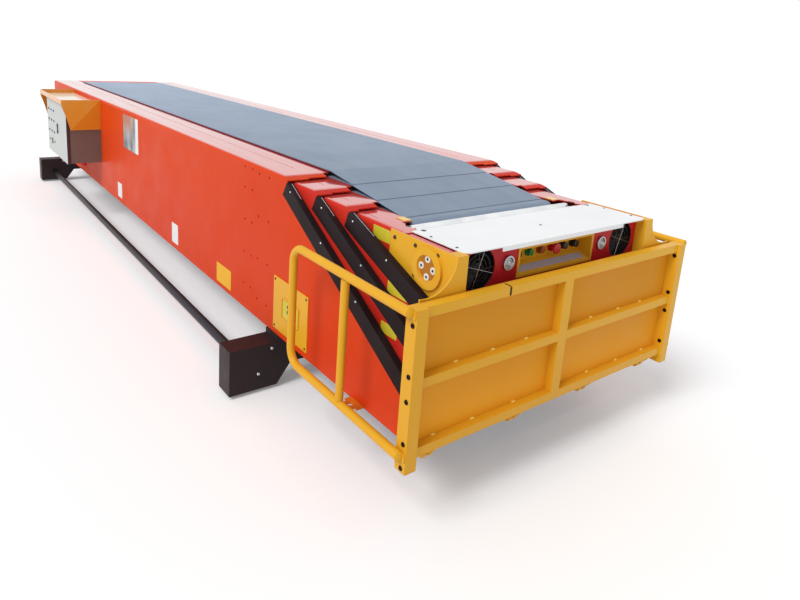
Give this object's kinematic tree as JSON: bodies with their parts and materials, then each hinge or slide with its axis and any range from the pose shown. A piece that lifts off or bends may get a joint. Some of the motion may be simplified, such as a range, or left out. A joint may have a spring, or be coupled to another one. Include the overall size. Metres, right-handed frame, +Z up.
{
  "type": "telescopic belt conveyor",
  "caption": "Telescopic belt conveyor on traverse wheels: a long red base with nested booms, a grey belt over the top and a folded-up yellow operator platform on the tip.",
  "frame": {"origin": "on the floor under the wheels, at mid length of the closed machine with its folded platform, on the centre plane of the base", "axes": "+X along the belt to the tip, +Y to the left of the machine seen from its rear, +Z up"},
  "size_m": [6.102, 1.78, 0.993],
  "materials": {
    "base_side_plates": "gloss orange-red paint",
    "base_belt": "matt grey conveyor belt",
    "base_drums": "turned steel",
    "base_nosings": "black paint",
    "base_support_rollers": "turned steel",
    "rear_end_plate": "gloss orange-red paint",
    "belt_drive_unit": "grey cast housing",
    "tie_lugs": "orange paint",
    "access_cover": "yellow paint",
    "base_belt_bed": "galvanised sheet",
    "base_straps": "galvanised flat bar",
    "boom_1_belt_bed": "galvanised sheet",
    "boom_1_straps": "galvanised flat bar",
    "boom_2_belt_bed": "galvanised sheet",
    "boom_2_straps": "galvanised flat bar",
    "boom_3_belt_bed": "galvanised sheet",
    "boom_3_straps": "galvanised flat bar",
    "front_cross_beam": "black-brown paint",
    "rear_cross_beam": "black-brown paint",
    "idle_wheel_front": "turned steel",
    "idle_wheel_rear": "turned steel",
    "drive_wheels": "turned steel",
    "drive_shaft": "drawn dark steel",
    "cabinet": "dark brown-grey paint",
    "cabinet_hood": "yellow paint",
    "cabinet_door": "light grey paint",
    "cabinet_handle": "dark plastic",
    "signal_lamp": "red lens",
    "boom_1_side_plates": "gloss red paint",
    "boom_1_belt": "matt grey conveyor belt",
    "boom_1_nosings": "black paint",
    "boom_1_rollers": "turned steel",
    "boom_2_side_plates": "gloss red paint",
    "boom_2_belt": "matt grey conveyor belt",
    "boom_2_nosings": "black paint",
    "boom_2_rollers": "turned steel",
    "boom_3_side_plates": "gloss red paint",
    "boom_3_belt": "matt grey conveyor belt",
    "boom_3_rollers": "turned steel",
    "transfer_roller_1": "bright roller tube",
    "transfer_roller_2": "bright roller tube",
    "belt_end_plates": "yellow paint",
    "tip_cheeks": "yellow paint",
    "tip_end_frame": "yellow paint",
    "tip_wall": "dark red paint",
    "tip_deck": "white-grey paint",
    "fan_housings": "black plastic",
    "fan_rotor_right": "black plastic",
    "fan_rotor_left": "black plastic",
    "spot_lamps": "chromed rims",
    "button_box": "yellow paint",
    "push_buttons": "coloured plastic caps",
    "platform_frame": "yellow paint",
    "platform_floor": "yellow paint",
    "platform_handrails": "yellow paint"
  },
  "bodies": {
    "base": {"base_side_plates": "base_side_plates", "base_belt": "base_belt", "base_drums": "base_drums", "base_nosings": "base_nosings", "base_support_rollers": "base_support_rollers", "rear_end_plate": "rear_end_plate", "belt_drive_unit": "belt_drive_unit", "tie_lugs": "tie_lugs", "access_cover": "access_cover", "base_belt_bed": "base_belt_bed", "base_straps": "base_straps", "front_cross_beam": "front_cross_beam", "rear_cross_beam": "rear_cross_beam", "cabinet": "cabinet", "cabinet_hood": "cabinet_hood", "signal_lamp": "signal_lamp"},
    "drive_axle": {"drive_wheels": "drive_wheels", "drive_shaft": "drive_shaft"},
    "front_idle_wheel": {"idle_wheel_front": "idle_wheel_front"},
    "rear_idle_wheel": {"idle_wheel_rear": "idle_wheel_rear"},
    "cabinet_door": {"cabinet_door": "cabinet_door", "cabinet_handle": "cabinet_handle"},
    "boom_1": {"boom_1_side_plates": "boom_1_side_plates", "boom_1_belt": "boom_1_belt", "boom_1_nosings": "boom_1_nosings", "boom_1_rollers": "boom_1_rollers", "boom_1_belt_bed": "boom_1_belt_bed", "boom_1_straps": "boom_1_straps"},
    "boom_2": {"boom_2_side_plates": "boom_2_side_plates", "boom_2_belt": "boom_2_belt", "boom_2_nosings": "boom_2_nosings", "boom_2_rollers": "boom_2_rollers", "boom_2_belt_bed": "boom_2_belt_bed", "boom_2_straps": "boom_2_straps"},
    "boom_3": {"boom_3_side_plates": "boom_3_side_plates", "boom_3_belt": "boom_3_belt", "boom_3_rollers": "boom_3_rollers", "boom_3_belt_bed": "boom_3_belt_bed", "boom_3_straps": "boom_3_straps", "belt_end_plates": "belt_end_plates", "tip_cheeks": "tip_cheeks", "tip_end_frame": "tip_end_frame", "tip_wall": "tip_wall", "tip_deck": "tip_deck", "fan_housings": "fan_housings", "spot_lamps": "spot_lamps", "button_box": "button_box", "push_buttons": "push_buttons"},
    "transfer_roller_1": {"transfer_roller_1": "transfer_roller_1"},
    "transfer_roller_2": {"transfer_roller_2": "transfer_roller_2"},
    "fan_right": {"fan_rotor_right": "fan_rotor_right"},
    "fan_left": {"fan_rotor_left": "fan_rotor_left"},
    "platform": {"platform_frame": "platform_frame", "platform_floor": "platform_floor", "platform_handrails": "platform_handrails"}
  },
  "joints": [
    {"name": "drive_axle_roll", "type": "hinge", "parent": "base", "child": "drive_axle", "pos_m": [1.9505, -0.738, 0.095], "axis": [1, 0, 0], "continuous": true},
    {"name": "front_idle_roll", "type": "hinge", "parent": "base", "child": "front_idle_wheel", "pos_m": [1.9505, 0.738, 0.095], "axis": [1, 0, 0], "continuous": true},
    {"name": "rear_idle_roll", "type": "hinge", "parent": "base", "child": "rear_idle_wheel", "pos_m": [-2.6995, 0.738, 0.095], "axis": [1, 0, 0], "continuous": true},
    {"name": "cabinet_door_hinge", "type": "hinge", "parent": "base", "child": "cabinet_door", "pos_m": [-1.939, -0.878, 0.7], "axis": [0, 0, -1], "range_deg": [0, 110]},
    {"name": "boom_1_slide", "type": "slide", "parent": "base", "child": "boom_1", "axis": [1, 0, 0], "range_m": [0, 3.4]},
    {"name": "boom_2_slide", "type": "slide", "parent": "boom_1", "child": "boom_2", "axis": [1, 0, 0], "range_m": [0, 3.4]},
    {"name": "boom_3_slide", "type": "slide", "parent": "boom_2", "child": "boom_3", "axis": [1, 0, 0], "range_m": [0, 3.4]},
    {"name": "transfer_roller_1_spin", "type": "hinge", "parent": "boom_3", "child": "transfer_roller_1", "pos_m": [2.632, 0, 0.888], "axis": [0, 1, 0], "continuous": true},
    {"name": "transfer_roller_2_spin", "type": "hinge", "parent": "boom_3", "child": "transfer_roller_2", "pos_m": [2.688, 0, 0.888], "axis": [0, 1, 0], "continuous": true},
    {"name": "fan_right_spin", "type": "hinge", "parent": "boom_3", "child": "fan_right", "pos_m": [2.928, -0.401, 0.84], "axis": [1, 0, 0], "continuous": true},
    {"name": "fan_left_spin", "type": "hinge", "parent": "boom_3", "child": "fan_left", "pos_m": [2.928, 0.401, 0.84], "axis": [1, 0, 0], "continuous": true},
    {"name": "platform_fold", "type": "hinge", "parent": "boom_3", "child": "platform", "pos_m": [2.994, 0, 0.262], "axis": [0, 1, 0], "range_deg": [0, 90]}
  ],
  "couplings": [
    {"joint": "boom_2_slide", "follows": "boom_1_slide", "ratio": 1},
    {"joint": "boom_3_slide", "follows": "boom_1_slide", "ratio": 1}
  ]
}
